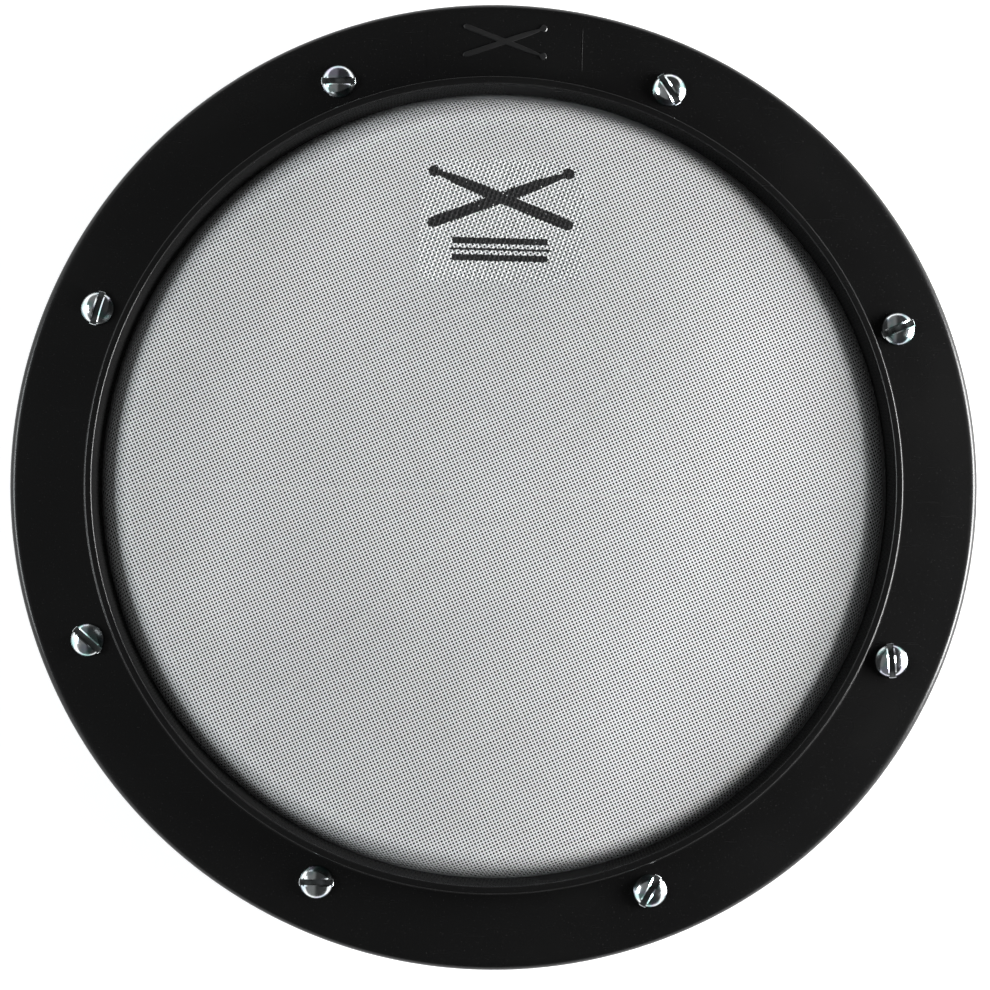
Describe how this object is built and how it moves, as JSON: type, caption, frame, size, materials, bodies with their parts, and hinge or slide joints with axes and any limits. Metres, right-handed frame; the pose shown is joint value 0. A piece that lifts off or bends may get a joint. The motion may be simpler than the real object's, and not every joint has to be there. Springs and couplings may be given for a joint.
{
  "type": "drum practice pad",
  "caption": "Round tunable drum practice pad: a woven mesh head stretched over a plastic tray by a bolted ring, with a rubber foot and a stand thread.",
  "frame": {"origin": "centre of the underside of the rubber foot ring, on the pad's axis", "axes": "+Z along the pad's axis, up out of the playing surface; +Y towards the moulded emblem on the ring"},
  "size_m": [0.255, 0.255, 0.0435],
  "materials": {
    "abs_ring": "satin black moulded plastic",
    "abs_base": "fine-textured black moulded plastic",
    "mesh": "white plain-woven polyester mesh",
    "hoop_metal": "rolled, satin",
    "resin": "cast resin",
    "screw_steel": "bright zinc plate",
    "nut_steel": "zinc plate",
    "insert_brass": "turned and knurled",
    "foot_rubber": "matt"
  },
  "bodies": {
    "base": {"base_shell": "abs_base", "stand_insert": "insert_brass", "foot_ring": "foot_rubber", "mesh_head": "mesh", "mesh_collar": "mesh", "hex_nut_1": "nut_steel", "hex_nut_2": "nut_steel", "hex_nut_3": "nut_steel", "hex_nut_4": "nut_steel", "hex_nut_5": "nut_steel", "hex_nut_6": "nut_steel", "hex_nut_7": "nut_steel", "hex_nut_8": "nut_steel"},
    "ring": {"counterhoop": "abs_ring", "flesh_hoop": "hoop_metal", "hoop_resin": "resin"},
    "tension_screw_1": {"tension_screw_1": "screw_steel"},
    "tension_screw_2": {"tension_screw_2": "screw_steel"},
    "tension_screw_3": {"tension_screw_3": "screw_steel"},
    "tension_screw_4": {"tension_screw_4": "screw_steel"},
    "tension_screw_5": {"tension_screw_5": "screw_steel"},
    "tension_screw_6": {"tension_screw_6": "screw_steel"},
    "tension_screw_7": {"tension_screw_7": "screw_steel"},
    "tension_screw_8": {"tension_screw_8": "screw_steel"}
  },
  "joints": [
    {"name": "ring_travel", "type": "slide", "parent": "base", "child": "ring", "axis": [0, 0, 1], "range_m": [-0.001, 0.002], "deforming": ["mesh_collar"]},
    {"name": "tension_screw_1_turn", "type": "hinge", "parent": "ring", "child": "tension_screw_1", "pos_m": [0.1056, 0.04374, 0.038], "axis": [0, 0, 1], "range_deg": [-454.54, 908.09]},
    {"name": "tension_screw_2_turn", "type": "hinge", "parent": "ring", "child": "tension_screw_2", "pos_m": [0.04374, 0.1056, 0.038], "axis": [0, 0, 1], "range_deg": [-454.54, 908.09]},
    {"name": "tension_screw_3_turn", "type": "hinge", "parent": "ring", "child": "tension_screw_3", "pos_m": [-0.04374, 0.1056, 0.038], "axis": [0, 0, 1], "range_deg": [-454.54, 908.09]},
    {"name": "tension_screw_4_turn", "type": "hinge", "parent": "ring", "child": "tension_screw_4", "pos_m": [-0.1056, 0.04374, 0.038], "axis": [0, 0, 1], "range_deg": [-454.54, 908.09]},
    {"name": "tension_screw_5_turn", "type": "hinge", "parent": "ring", "child": "tension_screw_5", "pos_m": [-0.1056, -0.04374, 0.038], "axis": [0, 0, 1], "range_deg": [-454.54, 908.09]},
    {"name": "tension_screw_6_turn", "type": "hinge", "parent": "ring", "child": "tension_screw_6", "pos_m": [-0.04374, -0.1056, 0.038], "axis": [0, 0, 1], "range_deg": [-454.54, 908.09]},
    {"name": "tension_screw_7_turn", "type": "hinge", "parent": "ring", "child": "tension_screw_7", "pos_m": [0.04374, -0.1056, 0.038], "axis": [0, 0, 1], "range_deg": [-454.54, 908.09]},
    {"name": "tension_screw_8_turn", "type": "hinge", "parent": "ring", "child": "tension_screw_8", "pos_m": [0.1056, -0.04374, 0.038], "axis": [0, 0, 1], "range_deg": [-454.54, 908.09]}
  ],
  "couplings": [
    {"joint": "tension_screw_1_turn", "follows": "ring_travel", "rad_per_m": 7915.8},
    {"joint": "tension_screw_2_turn", "follows": "ring_travel", "rad_per_m": 7915.8},
    {"joint": "tension_screw_3_turn", "follows": "ring_travel", "rad_per_m": 7915.8},
    {"joint": "tension_screw_4_turn", "follows": "ring_travel", "rad_per_m": 7915.8},
    {"joint": "tension_screw_5_turn", "follows": "ring_travel", "rad_per_m": 7915.8},
    {"joint": "tension_screw_6_turn", "follows": "ring_travel", "rad_per_m": 7915.8},
    {"joint": "tension_screw_7_turn", "follows": "ring_travel", "rad_per_m": 7915.8},
    {"joint": "tension_screw_8_turn", "follows": "ring_travel", "rad_per_m": 7915.8}
  ]
}
